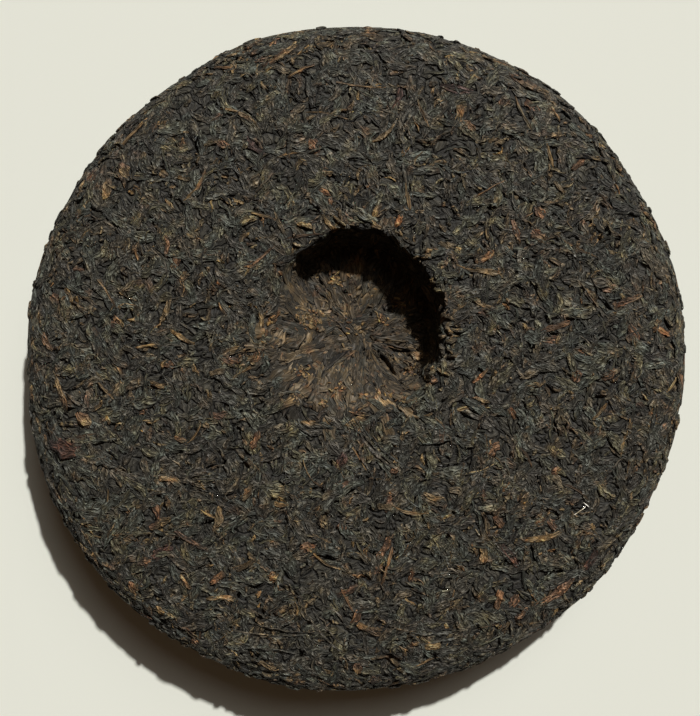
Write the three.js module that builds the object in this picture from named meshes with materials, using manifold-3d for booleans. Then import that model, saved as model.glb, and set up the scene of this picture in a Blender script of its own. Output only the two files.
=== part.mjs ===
// A pressed tea cake: steamed black tea leaves, gathered in a cloth bag and pressed under a stone
// into one hard disc. The twisted knot of the bag leaves the dimple. The cake lies with the dimple
// up, on the flat spot in the middle of its domed face, so its rim stands clear of the table.
// Sizes are in millimetres, +Z is up, and the origin is on the table under the middle of the disc.

import * as THREE from "three";
import { mergeVertices } from "three/addons/utils/BufferGeometryUtils.js";
import Module from "manifold-3d";

// The disc
const CAKE_RADIUS = 100;
const CAKE_HEIGHT = 25; // at the middle, if there were no dimple
const LIP_HEIGHT = 17; // of the widest line above the table
const FOOT_RADIUS = 42; // of the flat spot on the domed face
const CROWN_FALL = 1.6; // from the middle of the upper face to its edge
const SHOULDER_POWER = 16; // how late and how sharply the upper face turns down to the lip
const PLAIN_SHARE = 0.7; // of the radius, inside which the upper face is only crowned and dimpled
const INSIDE_LEVEL = 7; // a height between the dimple's floor and the underside
const OUTLINE_WAVES = [
  // how many round the rim, height, start in radians
  [2, 0.35, 0.6],
  [3, 0.3, 2.1],
  [7, 0.3, 0.9],
  [12, 0.22, 4.0],
];

// The dimple, and the pleats that the gathered cloth printed in its floor
const DIMPLE_X = -0.9;
const DIMPLE_Y = 10.1;
const DIMPLE_RADIUS = 28;
const DIMPLE_DEPTH = 13;
const STEEP_SIDE = THREE.MathUtils.degToRad(48); // heading of its steepest wall
const FLOOR_SHARE = 0.44; // of the radius that the floor takes, on average
const FLOOR_SWING = 0.3; // how much more of it on the steep side, and less on the other
const WALL_END = 1.04; // of the radius, where the wall has come up to the face
const PLEATS = 11;
const PLEAT_HEIGHT = 0.55;
const PLEAT_TWIST = 0.12; // in radians for each mm from the middle
const PLEATS_FROM = [2, 9]; // distances over which they rise from the middle of the dimple

// The body under the leaves, as rings round the middle
const ROUND = 64; // points in a ring
const UPPER_RINGS = [7, 13.5, 18, 21.5, 24.5, 27, 29.5, 36, 45, 55, 65, 75, 85, 92, 96.5, 98.8];
const LOWER_RINGS = [98.6, 93.5, 84, 65];
const DRIFT_START = 34; // rings inside this radius are centred on the dimple
const DRIFT_END = 82; // and outside this one on the disc
const LUMP_HEIGHT = 0.22; // unevenness of the pressed surface
const LUMP_FADE = [0.4, 3]; // heights over which it comes in above the flat foot
const LUMP_WAVES = [
  // radians for each mm along x, y and z, and start in radians
  [0.57, 0.12, 0.2, 1.3],
  [-0.16, 0.61, 0.3, 0.2],
  [0.37, 0.4, -0.3, 2.2],
  [0.44, -0.46, 0.25, 4.1],
];

// The leaves that show, fused to the body: the longest and widest ones, largest first
const GOLDEN_ANGLE = Math.PI * (3 - Math.sqrt(5));
const LEAF_SIDES = 5;
const LEAF_ROWS = 5;
const LEAF_LIFT = 0.35; // of its edges above the body, halfway along it
const TIP_SINK = 1; // how much lower its two ends are, so that they dive into the body
const LEAF_ROOT = 2; // how deep it is set in the body
const WALK_STEP = 2;
const FINEST = 0.04; // detail smaller than this is left out of the fused surface
// rise is its height above its edges, bend in radians from the middle to an end, and a low blunt
// makes the two ends blunter
const BROAD_LEAF = { length: [14, 22], width: [7, 11], rise: 0.8, bend: 0.25, blunt: 0.8 };
const LONG_ROLL = { length: [18, 30], width: [3, 4.6], rise: 1.2, bend: 0.9, blunt: 0.8 };
const SHORT_ROLL = { length: [14, 22], width: [2.6, 3.8], rise: 1.1, bend: 1.1, blunt: 0.8 };
const STEM = { length: [16, 26], width: [2, 2.6], rise: 1.0, bend: 0.12, blunt: 0.55 };
const MIXED = [LONG_ROLL, BROAD_LEAF, SHORT_ROLL, BROAD_LEAF, LONG_ROLL, STEM];
const ZONES = [
  // where leaves lie, how many, of which kinds, and how closely they follow the rim
  { face: "upper", from: 38, to: 88, count: 56, kinds: MIXED, along: 0.15 },
  { face: "upper", from: 88, to: 97, count: 12, kinds: MIXED, along: 0.85 },
  { face: "rim", from: 11, to: 20, count: 13, kinds: MIXED, along: 0.85 },
  { face: "under", from: 62, to: 92, count: 13, kinds: MIXED, along: 0.3 },
  { face: "dimple", from: 16, to: 21, count: 5, kinds: [SHORT_ROLL], along: 0 },
];
const SCATTER = 0.5; // how far a leaf's place strays from the even spread

// A seeded draw from 0 to 1, the same on each run
let seed = 357;
function draw() {
  seed = (seed + 0x6d2b79f5) | 0;
  let t = Math.imul(seed ^ (seed >>> 15), 1 | seed);
  t = (t + Math.imul(t ^ (t >>> 7), 61 | t)) ^ t;
  return ((t ^ (t >>> 14)) >>> 0) / 4294967296;
}

function between([low, high]) {
  return low + (high - low) * draw();
}

// How much wider than the true circle the disc is at a heading, as a share
function outlineSwell(angle) {
  let swell = 0;
  for (const [waves, height, start] of OUTLINE_WAVES) swell += height * Math.sin(waves * angle + start);
  return swell / CAKE_RADIUS;
}

// How deep the dimple is at a place, pleats included
function dimpleDepth(x, y) {
  const dx = x - DIMPLE_X;
  const dy = y - DIMPLE_Y;
  const reach = Math.hypot(dx, dy);
  const heading = Math.atan2(dy, dx);
  const floor = DIMPLE_RADIUS * (FLOOR_SHARE + FLOOR_SWING * Math.cos(heading - STEEP_SIDE));
  const wall = THREE.MathUtils.smoothstep(reach, floor, DIMPLE_RADIUS * WALL_END);
  const onFloor = THREE.MathUtils.smoothstep(reach, ...PLEATS_FROM) * (1 - wall);
  const pleat = PLEAT_HEIGHT * Math.sin(PLEATS * heading + PLEAT_TWIST * reach) * onFloor;
  return DIMPLE_DEPTH * (1 - wall) + pleat;
}

// Below 0 inside the cake, above 0 outside: a level of the smooth form, without leaves or lumps
function level(x, y, z) {
  const r = Math.hypot(x, y) / (1 + outlineSwell(Math.atan2(y, x)));
  const t = r / CAKE_RADIUS;
  const raised = z + CROWN_FALL * t * t;
  const upper = CAKE_HEIGHT - LIP_HEIGHT;
  if (t < PLAIN_SHARE && z > INSIDE_LEVEL) return (raised - CAKE_HEIGHT + dimpleDepth(x, y)) / upper;
  if (raised > LIP_HEIGHT) return t ** SHOULDER_POWER + ((raised - LIP_HEIGHT) / upper) ** 2 - 1;
  const s = Math.max(0, (r - FOOT_RADIUS) / (CAKE_RADIUS - FOOT_RADIUS));
  return s ** 2 + ((LIP_HEIGHT - raised) / LIP_HEIGHT) ** 2 - 1;
}

function outward(p) {
  const e = 0.05;
  return new THREE.Vector3(
    level(p.x + e, p.y, p.z) - level(p.x - e, p.y, p.z),
    level(p.x, p.y + e, p.z) - level(p.x, p.y - e, p.z),
    level(p.x, p.y, p.z + e) - level(p.x, p.y, p.z - e),
  ).divideScalar(2 * e);
}

// The place on the cake's surface nearest to p
function onSurface(p) {
  const q = p.clone();
  for (let i = 0; i < 5; i++) {
    const slope = outward(q);
    const move = level(q.x, q.y, q.z) / Math.max(slope.lengthSq(), 1e-6);
    q.addScaledVector(slope, -THREE.MathUtils.clamp(move * slope.length(), -2, 2) / slope.length());
  }
  return q;
}

// Low lumps all over, fading out towards the foot, which is flat
function lump(p) {
  let sum = 0;
  for (const [x, y, z, start] of LUMP_WAVES) sum += Math.sin(x * p.x + y * p.y + z * p.z + start);
  return LUMP_HEIGHT * sum * THREE.MathUtils.smoothstep(p.z, ...LUMP_FADE);
}

// The body: the lathed form of the disc, then pushed onto the true surface and made uneven
function bodyGeometry() {
  const upper = CAKE_HEIGHT - LIP_HEIGHT;
  const topAt = (r) => LIP_HEIGHT + upper * Math.sqrt(1 - (r / CAKE_RADIUS) ** SHOULDER_POWER);
  const underAt = (r) => {
    const s = (r - FOOT_RADIUS) / (CAKE_RADIUS - FOOT_RADIUS);
    return LIP_HEIGHT * (1 - Math.sqrt(1 - s * s));
  };
  const profile = [new THREE.Vector2(0, 0), new THREE.Vector2(FOOT_RADIUS, 0)];
  for (const r of [...LOWER_RINGS].reverse()) profile.push(new THREE.Vector2(r, underAt(r)));
  profile.push(new THREE.Vector2(CAKE_RADIUS, LIP_HEIGHT));
  for (const r of [...UPPER_RINGS].reverse()) profile.push(new THREE.Vector2(r, topAt(r)));
  profile.push(new THREE.Vector2(0, CAKE_HEIGHT));

  const lathe = new THREE.LatheGeometry(profile, ROUND).rotateX(Math.PI / 2);
  lathe.deleteAttribute("normal");
  lathe.deleteAttribute("uv");
  const body = mergeVertices(lathe, 1e-3);
  const position = body.getAttribute("position");
  for (let i = 0; i < position.count; i++) {
    const p = new THREE.Vector3().fromBufferAttribute(position, i);
    const swell = 1 + outlineSwell(Math.atan2(p.y, p.x));
    if (p.z < 1e-3) {
      position.setXYZ(i, p.x * swell, p.y * swell, 0);
      continue;
    }
    const out = THREE.MathUtils.smoothstep(Math.hypot(p.x, p.y), DRIFT_START, DRIFT_END);
    const drift = p.z > LIP_HEIGHT ? 1 - out : 0;
    p.x = p.x * swell + DIMPLE_X * drift;
    p.y = p.y * swell + DIMPLE_Y * drift;
    const crown = CROWN_FALL * (Math.hypot(p.x, p.y) / CAKE_RADIUS) ** 2;
    if (drift > 0) p.z = CAKE_HEIGHT - crown - dimpleDepth(p.x, p.y);
    const q = drift > 0 ? p : onSurface(p);
    q.addScaledVector(outward(q).normalize(), lump(q));
    position.setXYZ(i, q.x, q.y, q.z);
  }
  return body;
}

// Goes a distance over the surface from a place, turning steadily, and gives the frame there
function walk(start, heading, distance, bend) {
  const steps = Math.max(1, Math.ceil(Math.abs(distance) / WALK_STEP));
  const stride = distance / steps;
  const place = start.clone();
  const ahead = heading.clone();
  for (let i = 0; i < steps; i++) {
    place.copy(onSurface(place.addScaledVector(ahead, stride)));
    const up = outward(place).normalize();
    ahead.addScaledVector(up, -ahead.dot(up)).normalize().applyAxisAngle(up, bend * stride);
  }
  const up = outward(place).normalize();
  return { place, ahead, up, across: new THREE.Vector3().crossVectors(ahead, up) };
}

// One leaf: a flattened spindle that follows the surface, its lower half set in the body
function leafGeometry(start, heading, kind) {
  const half = between(kind.length) / 2;
  const halfWidth = between(kind.width) / 2;
  const bend = ((draw() * 2 - 1) * kind.bend) / half;
  const ball = new THREE.SphereGeometry(1, LEAF_SIDES, LEAF_ROWS);
  ball.deleteAttribute("normal");
  ball.deleteAttribute("uv");
  const leaf = mergeVertices(ball, 1e-4);
  const position = leaf.getAttribute("position");
  for (let i = 0; i < position.count; i++) {
    const along = Math.sign(position.getY(i)) * Math.abs(position.getY(i)) ** kind.blunt;
    const frame = walk(start, heading, along * half, bend);
    // a sphere turned so that its pole runs along the leaf: X goes across it and Z up
    const p = onSurface(frame.place.addScaledVector(frame.across, position.getX(i) * halfWidth));
    const height = position.getZ(i) * (position.getZ(i) > 0 ? kind.rise : LEAF_ROOT);
    p.addScaledVector(frame.up, height + LEAF_LIFT - TIP_SINK * along ** 4);
    position.setXYZ(i, p.x, p.y, Math.max(p.z, 0.05));
  }
  return leaf;
}

// A place in a zone, from a sunflower spiral with a little scatter, and the heading of a leaf there
function spot(zone, index) {
  const share = (index + 0.5 + SCATTER * (draw() - 0.5)) / zone.count;
  const angle = index * GOLDEN_ANGLE + SCATTER * (draw() - 0.5);
  const aim = new THREE.Vector3(Math.cos(angle), Math.sin(angle), 0);
  const spread = Math.sqrt(zone.from ** 2 + (zone.to ** 2 - zone.from ** 2) * share);
  const start = aim.clone().multiplyScalar(zone.face === "rim" ? CAKE_RADIUS : spread);
  if (zone.face === "rim") start.z = between([zone.from, zone.to]);
  else if (zone.face === "upper") start.z = CAKE_HEIGHT;
  else if (zone.face === "dimple") {
    start.x += DIMPLE_X;
    start.y += DIMPLE_Y;
    start.z = CAKE_HEIGHT - dimpleDepth(start.x, start.y);
  }
  start.copy(onSurface(start));
  const up = outward(start).normalize();
  const round = new THREE.Vector3(-aim.y, aim.x, 0);
  round.addScaledVector(up, -round.dot(up)).normalize();
  const free = (draw() - 0.5) * Math.PI * (1 - zone.along);
  const turn = zone.face === "dimple" ? Math.PI / 2 : free;
  return { start, heading: round.applyAxisAngle(up, turn) };
}

const wasm = await Module();
wasm.setup();

function solid(geometry) {
  return new wasm.Manifold(
    new wasm.Mesh({
      numProp: 3,
      vertProperties: geometry.getAttribute("position").array,
      triVerts: new Uint32Array(geometry.index.array),
    }),
  );
}

function outerShell(manifold) {
  return manifold.decompose().sort((a, b) => b.volume() - a.volume())[0];
}

function surfaceOf(manifold) {
  const mesh = manifold.getMesh();
  return new THREE.BufferGeometry()
    .setAttribute("position", new THREE.BufferAttribute(new Float32Array(mesh.vertProperties), 3))
    .setIndex(new THREE.BufferAttribute(new Uint32Array(mesh.triVerts), 1));
}

function cakeGeometry() {
  let cake = solid(bodyGeometry());
  for (const zone of ZONES)
    for (let i = 0; i < zone.count; i++) {
      const { start, heading } = spot(zone, i);
      cake = cake.add(solid(leafGeometry(start, heading, zone.kinds[i % zone.kinds.length])));
    }
  // Points that touch are joined, and pockets that this shuts in between leaves are filled
  const joined = mergeVertices(surfaceOf(outerShell(cake.simplify(FINEST))), 1e-3);
  const geometry = surfaceOf(outerShell(solid(joined)));
  geometry.computeVertexNormals();
  return geometry;
}

const teaLeaf = new THREE.MeshStandardMaterial({ color: 0x3c3830, roughness: 0.72, metalness: 0 });

const teaCake = new THREE.Mesh(cakeGeometry(), teaLeaf);
teaCake.name = "tea_cake";

const group = new THREE.Group();
group.name = "pressed_tea_cake";
group.add(teaCake);

export default group;
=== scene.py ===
import math

import bmesh
import bpy
import numpy as np
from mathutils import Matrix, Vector


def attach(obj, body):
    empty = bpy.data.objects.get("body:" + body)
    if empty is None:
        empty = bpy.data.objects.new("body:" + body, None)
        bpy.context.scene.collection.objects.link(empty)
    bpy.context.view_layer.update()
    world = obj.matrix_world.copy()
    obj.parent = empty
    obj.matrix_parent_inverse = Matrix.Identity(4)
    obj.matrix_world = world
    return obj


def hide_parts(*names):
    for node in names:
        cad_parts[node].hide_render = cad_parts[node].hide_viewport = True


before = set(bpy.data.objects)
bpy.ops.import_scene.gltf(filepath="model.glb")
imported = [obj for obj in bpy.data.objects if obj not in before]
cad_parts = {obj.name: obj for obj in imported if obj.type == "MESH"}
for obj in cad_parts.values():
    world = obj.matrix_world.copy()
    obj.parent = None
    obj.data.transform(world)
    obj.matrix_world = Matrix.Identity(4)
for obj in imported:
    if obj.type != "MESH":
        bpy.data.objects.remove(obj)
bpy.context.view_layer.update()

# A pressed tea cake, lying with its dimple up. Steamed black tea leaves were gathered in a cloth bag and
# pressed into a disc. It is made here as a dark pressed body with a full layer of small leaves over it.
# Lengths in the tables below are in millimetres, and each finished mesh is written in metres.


# The pressed body
# The disc itself: nearly flat above, with a round rim and a low domed underside, all packed leaf and
# crumb. The twisted knot of the bag pressed the dimple into it, and the gathered cloth the dimple's
# pleats and creases.

MM = 0.001  # a millimetre in metres

CAKE_RADIUS = 100.0
CAKE_HEIGHT = 25.0
LIP_HEIGHT = 17.0  # of the widest line
FOOT_RADIUS = 42.0
CROWN_FALL = 1.6  # from the middle of the upper face to the rim
SHOULDER_POWER = 16
PLAIN_SHARE = 0.7  # of the radius, within which the upper face is plain apart from the dimple
INSIDE_LEVEL = 7.0  # a height inside the disc, below the dimple's floor
OUTLINE_WAVES = ((2, 0.8, 5.69), (3, 0.3, 2.1), (7, 0.3, 0.9), (12, 0.22, 4.0))  # waves, height, start

DIMPLE_CENTRE = (-1.3, 9.6)
DIMPLE_RADIUS = 27.4
DIMPLE_DEPTH = 12.4
DIMPLE_WAVES = ((3, 0.8, -2.09), (5, 0.5, 0.35), (9, 0.3, -1.57), (13, 0.3, -1.57), (29, 0.2, 0.8))
FLOOR_TILT = 1.0  # how much deeper the floor is at its right end
STEEP_SIDE = math.radians(46)
STEEP_SPREAD = 0.6  # above 0, the steep part of the wall reaches more than half way round
STEEP_CHANGE = 4.0  # how suddenly the wall turns from steep to gentle
FLOOR_SHARE = 0.5  # of the dimple's radius
FLOOR_SWING = 0.4  # how much more of it where the wall is steep, and less where it isn't
WALL_END = 1.03
PLEATS = 11
PLEAT_HEIGHT = 0.2
PLEAT_TWIST = 0.12

CREASE_CENTRE = (3.0, 5.5)
CREASES = 20
CREASE_DEPTH = 0.9
CREASE_SIDE = math.radians(-65)
CREASE_CURL = 0.05
CREASE_SPACING = 0.9  # how unevenly they are spaced

LONG_CREASE_START = (7.2, 2.5)
LONG_CREASE_WAY = math.radians(-56)
LONG_CREASE_LENGTH = 16.0
LONG_CREASE_WIDTH = 0.55
LONG_CREASE_DEPTH = 2.0

POCKET_MIDDLE = (11.6, 15.5)  # of a small hollow where the knot sat
POCKET_REACH = 3.2
POCKET_DEPTH = 3.0

LEAF_DEPTH = 0.24  # the body lies this far under the faces of the leaves that cover it
DIMPLE_THINNING = 0.45  # how much less of that it is in the dimple
BODY_RELIEF = ((0.13, 4.2, 1), (0.08, 1.9, 2))  # height, size and seed of its lumps
FOOT_LIFT = 0.25  # of the body's foot, so that the leaves under it are what rests on the table


def smoothstep(value, low, high):
    share = np.clip((value - low) / (high - low), 0, 1)
    return share * share * (3 - 2 * share)


def outline_swell(angle):
    return sum(high * np.sin(waves * angle + start) for waves, high, start in OUTLINE_WAVES) / CAKE_RADIUS


def dimple_reach(x, y):
    return np.hypot(x - DIMPLE_CENTRE[0], y - DIMPLE_CENTRE[1])


def creases(x, y):
    """Narrow grooves that run out from one point of the dimple's floor, deepest on its lower side."""
    far = np.hypot(x - CREASE_CENTRE[0], y - CREASE_CENTRE[1])
    around = np.arctan2(y - CREASE_CENTRE[1], x - CREASE_CENTRE[0])
    turn = CREASES / 2 * around + CREASE_CURL * far + CREASE_SPACING * np.sin(3 * around)
    wave = np.abs(np.sin(turn))
    side = 0.25 + 0.75 * (0.5 + 0.5 * np.cos(around - CREASE_SIDE)) ** 2
    return CREASE_DEPTH * side * (1 - wave) ** 4 * smoothstep(far, 1.5, 5)


def from_long_crease(x, y):
    """How far along the long crease a place lies, and how far to its side."""
    east = x - LONG_CREASE_START[0]
    north = y - LONG_CREASE_START[1]
    along = east * np.cos(LONG_CREASE_WAY) + north * np.sin(LONG_CREASE_WAY)
    aside = north * np.cos(LONG_CREASE_WAY) - east * np.sin(LONG_CREASE_WAY)
    return along, aside


def long_crease(x, y):
    along, aside = from_long_crease(x, y)
    groove = LONG_CREASE_DEPTH * np.exp(-(aside / LONG_CREASE_WIDTH) ** 2)
    fade = 1 - smoothstep(along, LONG_CREASE_LENGTH - 3, LONG_CREASE_LENGTH)
    return groove * smoothstep(along, -1, 2) * fade


def pocket(x, y):
    away = (x - POCKET_MIDDLE[0]) ** 2 + (y - POCKET_MIDDLE[1]) ** 2
    return POCKET_DEPTH * np.exp(-away / POCKET_REACH ** 2)


def dimple_depth(x, y):
    """How far the dimple goes below the plain upper face."""
    reach = dimple_reach(x, y)
    heading = np.arctan2(y - DIMPLE_CENTRE[1], x - DIMPLE_CENTRE[0])
    ragged = sum(high * np.sin(waves * heading + start) for waves, high, start in DIMPLE_WAVES)
    edge = DIMPLE_RADIUS + ragged
    steep = np.tanh(STEEP_CHANGE * np.cos(heading - STEEP_SIDE) + STEEP_SPREAD)
    floor = edge * (FLOOR_SHARE + FLOOR_SWING * steep)
    wall = smoothstep(reach, floor, edge * WALL_END)
    deepest = DIMPLE_DEPTH + FLOOR_TILT * (x - DIMPLE_CENTRE[0]) / DIMPLE_RADIUS
    pleat = PLEAT_HEIGHT * np.sin(PLEATS * heading + PLEAT_TWIST * reach)
    fold = pleat * smoothstep(reach, 2, 9) + creases(x, y) + pocket(x, y)
    return (deepest + fold) * (1 - wall) + long_crease(x, y)


def level(p):
    """Below 0 inside the smooth form of the cake and above 0 outside it, for points in millimetres."""
    x, y, z = p[..., 0], p[..., 1], p[..., 2]
    r = np.hypot(x, y) / (1 + outline_swell(np.arctan2(y, x)))
    t = r / CAKE_RADIUS
    raised = z + CROWN_FALL * t * t
    rise = CAKE_HEIGHT - LIP_HEIGHT
    plain = (raised - CAKE_HEIGHT + dimple_depth(x, y)) / rise
    shoulder = t ** SHOULDER_POWER + ((raised - LIP_HEIGHT) / rise) ** 2 - 1
    s = np.maximum(0, (r - FOOT_RADIUS) / (CAKE_RADIUS - FOOT_RADIUS))
    under = s * s + ((LIP_HEIGHT - raised) / LIP_HEIGHT) ** 2 - 1
    upper = np.where(raised > LIP_HEIGHT, shoulder, under)
    return np.where((t < PLAIN_SHARE) & (z > INSIDE_LEVEL), plain, upper)


def slope_of(p):
    """Which way the level rises fastest, so outwards from the surface."""
    step = 0.05
    parts = []
    for axis in range(3):
        shift = np.zeros(3)
        shift[axis] = step
        parts.append((level(p + shift) - level(p - shift)) / (2 * step))
    return np.stack(parts, axis=-1)


def unit(v):
    return v / np.maximum(np.linalg.norm(v, axis=-1, keepdims=True), 1e-9)


def on_surface(p, rounds=3):
    """Moves points straight out or in until they lie on the smooth form."""
    for _ in range(rounds):
        slope = slope_of(p)
        steep = np.maximum(np.linalg.norm(slope, axis=-1), 1e-6)
        move = np.clip(level(p) / steep, -2, 2)
        p = p - slope / steep[..., None] * move[..., None]
    return p


def press_flat(z):
    """Presses what would reach below the table into a thin layer that ends on it, in the same order."""
    layer = 0.5
    return np.where(z > layer, z, layer * np.exp((np.minimum(z, layer) - layer) / layer))


def profile_points(count):
    """A rough section from the middle of the upper face round the rim to the middle of the foot."""
    corner = 90
    shoulder = 7
    top = [(r, CAKE_HEIGHT) for r in np.linspace(0, corner, count // 2)[:-1]]
    turn = np.linspace(0, math.pi / 2, count // 8)
    bulge = CAKE_RADIUS - corner
    rim = [(corner + bulge * math.sin(a), LIP_HEIGHT + shoulder * math.cos(a)) for a in turn]
    low = np.linspace(0, 1, count // 3)[1:]
    inward = CAKE_RADIUS - FOOT_RADIUS
    dome = [(CAKE_RADIUS - inward * u ** 1.4, LIP_HEIGHT * (1 - math.sin(u * math.pi / 2))) for u in low]
    foot = [(r, 0.0) for r in np.linspace(FOOT_RADIUS, 0, count // 6)[1:]]
    return top + rim + dome + foot


def ruffle(p, size, seed):
    """Smooth random waves from -1 to 1, about size millimetres from crest to crest."""
    draw = np.random.default_rng(seed)
    total = np.zeros(p.shape[:-1])
    for _ in range(7):
        way = draw.normal(size=3)
        way *= 2 * math.pi / size / np.linalg.norm(way) * draw.uniform(0.7, 1.5)
        total += np.sin(p @ way + draw.uniform(0, 2 * math.pi))
    return total / 3.2


def write_points(mesh, points):
    mesh.vertices.foreach_set("co", (points * MM).astype(np.float32).ravel())
    mesh.update()


core_section = profile_points(132)
core_form = bmesh.new()
ring = [core_form.verts.new((r, 0, z)) for r, z in core_section]
edges = [core_form.edges.new(pair) for pair in zip(ring, ring[1:])]
bmesh.ops.spin(
    core_form, geom=ring + edges, cent=(0, 0, 0), axis=(0, 0, 1), dvec=(0, 0, 0),
    angle=2 * math.pi, steps=300, use_merge=True, use_duplicate=False,
)
bmesh.ops.remove_doubles(core_form, verts=core_form.verts, dist=1e-4)
bmesh.ops.recalc_face_normals(core_form, faces=core_form.faces)
core_mesh = bpy.data.meshes.new("pressed_body")
core_form.to_mesh(core_mesh)
core_form.free()
core_mesh.shade_smooth()

core_points = np.empty(len(core_mesh.vertices) * 3, np.float32)
core_mesh.vertices.foreach_get("co", core_points)
core_points = core_points.reshape(-1, 3).astype(float)
# The rings of the upper face are moved over, so that the innermost ones go round the dimple.
core_reach = np.hypot(core_points[:, 0], core_points[:, 1])
drift = (1 - smoothstep(core_reach, 34, 82)) * (core_points[:, 2] > LIP_HEIGHT)
core_points[:, :2] += drift[:, None] * np.array(DIMPLE_CENTRE)
core_points[:, 2] -= np.where(drift > 0, dimple_depth(core_points[:, 0], core_points[:, 1]), 0)
core_points = on_surface(core_points, 4)
core_up = unit(slope_of(core_points))
in_dimple = 1 - smoothstep(dimple_reach(core_points[:, 0], core_points[:, 1]), 20, 29)
in_dimple = in_dimple * (core_points[:, 2] > INSIDE_LEVEL)
relief = sum(high * ruffle(core_points, size, seed) for high, size, seed in BODY_RELIEF)
relief = relief - LEAF_DEPTH * (1 - DIMPLE_THINNING * in_dimple)
core_points += core_up * relief[:, None]
at_foot = core_points[:, 2] < 0.6
core_points[:, 2] = press_flat(core_points[:, 2]) + FOOT_LIFT * at_foot
write_points(core_mesh, core_points)


def new_group(name, inputs, outputs):
    """An empty shader node group with named number sockets. The inputs come with their values."""
    group = bpy.data.node_groups.new(name, "ShaderNodeTree")
    for label, value in inputs:
        socket = group.interface.new_socket(label, in_out="INPUT", socket_type="NodeSocketFloat")
        socket.default_value = value
    for label in outputs:
        group.interface.new_socket(label, in_out="OUTPUT", socket_type="NodeSocketFloat")
    return group


def add(tree, kind, **settings):
    """A new node, with its properties and its input values set by name."""
    node = tree.nodes.new(kind)
    for key, value in settings.items():
        if key in node.bl_rna.properties:
            setattr(node, key, value)
        else:
            node.inputs[key].default_value = value
    return node


def add_span(tree, low, high):
    """A Map Range node that takes what lies between low and high to between 0 and 1."""
    node = tree.nodes.new("ShaderNodeMapRange")
    node.inputs["From Min"].default_value = low
    node.inputs["From Max"].default_value = high
    return node


def mottle_group():
    """Uneven colour of dried leaf, at two sizes, in the part's own coordinates."""
    group = new_group(
        "leaf mottle", [("Patch per m", 160.0), ("Speck per m", 900.0)], ["Shade", "Speck"],
    )
    given = add(group, "NodeGroupInput")
    place = add(group, "ShaderNodeTexCoord")
    patch = add(group, "ShaderNodeTexNoise", Detail=3.0, Roughness=0.6)
    speck = add(group, "ShaderNodeTexNoise", Detail=2.0, Roughness=0.7)
    put = add(group, "NodeGroupOutput")
    link = group.links.new
    sizes = ((patch, "Patch per m", 0.3, "Shade"), (speck, "Speck per m", 0.35, "Speck"))
    for noise, size, low, result in sizes:
        spot = add_span(group, low, 0.7)
        link(place.outputs["Object"], noise.inputs["Vector"])
        link(given.outputs[size], noise.inputs["Scale"])
        link(noise.outputs["Fac"], spot.inputs["Value"])
        link(spot.outputs["Result"], put.inputs[result])
    return group


MOTTLE = mottle_group()


def linear(*screen):
    """A colour given as 0 to 255 screen values, as the linear values that a shader takes."""
    shares = [value / 255 for value in screen]
    return (*(c / 12.92 if c < 0.04045 else ((c + 0.055) / 1.055) ** 2.4 for c in shares), 1)


def grey(value):
    return (value, value, value, 1)


def mix_colours(tree, amount, low, high, blend="MIX"):
    """A Mix node for colours: low and high are colours or sockets, amount is a number or a socket."""
    node = tree.nodes.new("ShaderNodeMix")
    node.data_type = "RGBA"
    node.blend_type = blend
    for socket, value in ((node.inputs[0], amount), (node.inputs[6], low), (node.inputs[7], high)):
        if isinstance(value, bpy.types.NodeSocket):
            tree.links.new(value, socket)
        else:
            socket.default_value = value
    return node.outputs[2]


def packing_group():
    """Leaf pressed flat into leaf: patches that are each wrinkled their own way, with seams between."""
    group = new_group(
        "packed leaf", [("Patch per m", 230.0), ("Wrinkle per m", 1300.0)],
        ["Height", "Crest", "Seam", "Tone"],
    )
    given = add(group, "NodeGroupInput")
    put = add(group, "NodeGroupOutput")
    place = add(group, "ShaderNodeTexCoord")
    sway = add(group, "ShaderNodeTexNoise", Scale=300.0, Detail=1.0)
    swayed = add(group, "ShaderNodeVectorMath", operation="MULTIPLY_ADD")
    swayed.inputs[1].default_value = (0.0035, 0.0035, 0.0035)
    patch = add(group, "ShaderNodeTexVoronoi", feature="F1")
    seam = add(group, "ShaderNodeTexVoronoi", feature="DISTANCE_TO_EDGE")
    seam_width = add_span(group, 0.0, 0.12)
    own = add(group, "ShaderNodeSeparateColor")
    angle = add(group, "ShaderNodeMath", operation="MULTIPLY")
    angle.inputs[1].default_value = math.pi
    turned = add(group, "ShaderNodeVectorRotate", rotation_type="Z_AXIS")
    narrow = add(group, "ShaderNodeVectorMath", operation="MULTIPLY")
    narrow.inputs[1].default_value = (1.0, 0.16, 0.5)
    wrinkle = add(group, "ShaderNodeTexNoise", Detail=2.0, Roughness=0.6, Distortion=0.4)
    crest = add_span(group, 0.44, 0.68)
    height = add(group, "ShaderNodeMath", operation="MULTIPLY_ADD")
    height.inputs[1].default_value = 0.5
    link = group.links.new
    link(place.outputs["Object"], sway.inputs["Vector"])
    link(sway.outputs["Color"], swayed.inputs[0])
    link(place.outputs["Object"], swayed.inputs[2])
    for cells in (patch, seam):
        link(swayed.outputs["Vector"], cells.inputs["Vector"])
        link(given.outputs["Patch per m"], cells.inputs["Scale"])
    link(seam.outputs["Distance"], seam_width.inputs["Value"])
    link(patch.outputs["Color"], own.inputs["Color"])
    link(own.outputs["Red"], angle.inputs[0])
    link(swayed.outputs["Vector"], turned.inputs["Vector"])
    link(angle.outputs["Value"], turned.inputs["Angle"])
    link(turned.outputs["Vector"], narrow.inputs[0])
    link(narrow.outputs["Vector"], wrinkle.inputs["Vector"])
    link(given.outputs["Wrinkle per m"], wrinkle.inputs["Scale"])
    link(wrinkle.outputs["Fac"], crest.inputs["Value"])
    link(seam_width.outputs["Result"], height.inputs[0])
    link(wrinkle.outputs["Fac"], height.inputs[2])
    link(height.outputs["Value"], put.inputs["Height"])
    link(crest.outputs["Result"], put.inputs["Crest"])
    link(seam_width.outputs["Result"], put.inputs["Seam"])
    link(own.outputs["Green"], put.inputs["Tone"])
    return group


PACKING = packing_group()

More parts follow.
